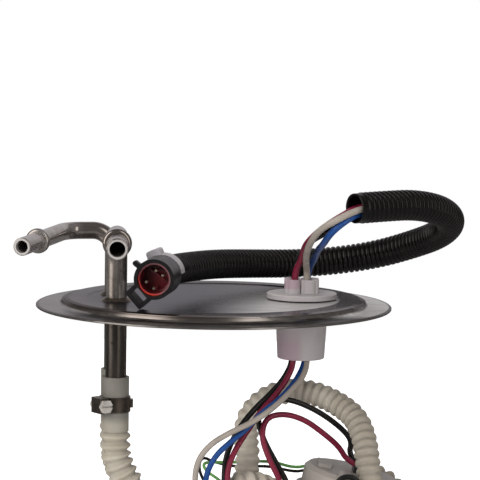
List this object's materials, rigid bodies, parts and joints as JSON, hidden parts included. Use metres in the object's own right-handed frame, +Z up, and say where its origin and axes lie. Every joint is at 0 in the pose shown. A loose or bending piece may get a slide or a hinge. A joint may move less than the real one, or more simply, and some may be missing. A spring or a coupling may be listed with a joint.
{
  "type": "fuel pump module",
  "caption": "Fuel pump module: steel tank flange with bent fuel tubes and a wiring pass-through, hoses down to a pump with strainer, and a float level sender.",
  "frame": {"origin": "centre of the flange's seating plane, the flat underside of its rim", "axes": "+Z up out of the tank, -Y towards the open face of the round connector, +X towards the wiring pass-through's side"},
  "size_m": [0.2025, 0.162, 0.2801],
  "materials": {
    "flange_steel": "satin",
    "tube_steel": "satin",
    "braze": "dark, matt",
    "grey_nylon": "satin",
    "clear_nylon": "translucent satin",
    "hose_nylon": "translucent, shiny",
    "black_plastic": "satin",
    "red_plastic": "satin",
    "black_rubber": "matt",
    "contact_brass": "bright",
    "clamp_steel": "bright",
    "wire_red": "satin",
    "wire_white": "satin",
    "wire_blue": "satin",
    "wire_black": "satin",
    "wire_green": "satin",
    "case_steel": "satin",
    "ferrite": "matt",
    "armature_metal": "matt",
    "carbon": "matt",
    "ceramic": "satin",
    "sock_mesh": "woven",
    "float_foam": "matt",
    "arm_steel": "bright"
  },
  "bodies": {
    "module": {"flange_plate": "flange_steel", "supply_tube": "tube_steel", "return_tube": "tube_steel", "tube_braze_rings": "braze", "pass_through_body": "grey_nylon", "pass_through_seal": "black_rubber", "pass_through_pins": "contact_brass", "upper_wire_red": "wire_red", "upper_wire_white": "wire_white", "upper_wire_blue": "wire_blue", "upper_wire_black": "wire_black", "conduit": "black_plastic", "wire_bundle": "wire_black", "connector_shell": "black_plastic", "connector_insert": "red_plastic", "connector_pins": "contact_brass", "connector_collar": "grey_nylon", "supply_hose": "hose_nylon", "return_hose": "hose_nylon", "supply_hose_cuffs": "clear_nylon", "return_hose_cuffs": "clear_nylon", "hose_clamp_bands": "clamp_steel", "hose_clamp_screws": "clamp_steel", "lower_wire_red": "wire_red", "lower_wire_white": "wire_white", "lower_wire_blue": "wire_blue", "lower_wire_black": "wire_black", "sender_wire_green": "wire_green", "sender_wire_black": "wire_black", "pump_cap": "grey_nylon", "port_ring": "black_rubber", "pump_housing": "grey_nylon", "pump_isolator": "black_rubber", "pump_case": "case_steel", "pump_end_cap": "black_plastic", "outlet_coupler": "black_rubber", "pump_inlet_cover": "black_plastic", "pump_magnets": "ferrite", "pump_brushes": "carbon", "strainer_neck": "grey_nylon", "strainer_sock": "sock_mesh", "pump_plug": "black_plastic", "sender_plug": "black_plastic", "sender_housing": "grey_nylon", "sender_card": "ceramic"},
    "float_lever": {"sender_wiper": "clear_nylon", "float_arm": "arm_steel", "level_float": "float_foam"},
    "pump_rotor": {"pump_armature": "armature_metal", "pump_impeller": "black_plastic"},
    "check_ball_body": {"check_ball": "ceramic"}
  },
  "joints": [
    {"name": "float_hinge", "type": "hinge", "parent": "module", "child": "float_lever", "pos_m": [0.019, 0, -0.1332], "axis": [0, 1, 0], "range_deg": [0, 62]},
    {"name": "pump_spin", "type": "hinge", "parent": "module", "child": "pump_rotor", "pos_m": [0.05045, 0, -0.14397], "axis": [0.2079, 0, 0.9781], "continuous": true},
    {"name": "check_ball_lift", "type": "slide", "parent": "module", "child": "check_ball_body", "axis": [0.2079, 0, 0.9781], "range_m": [0, 0.0024]}
  ]
}
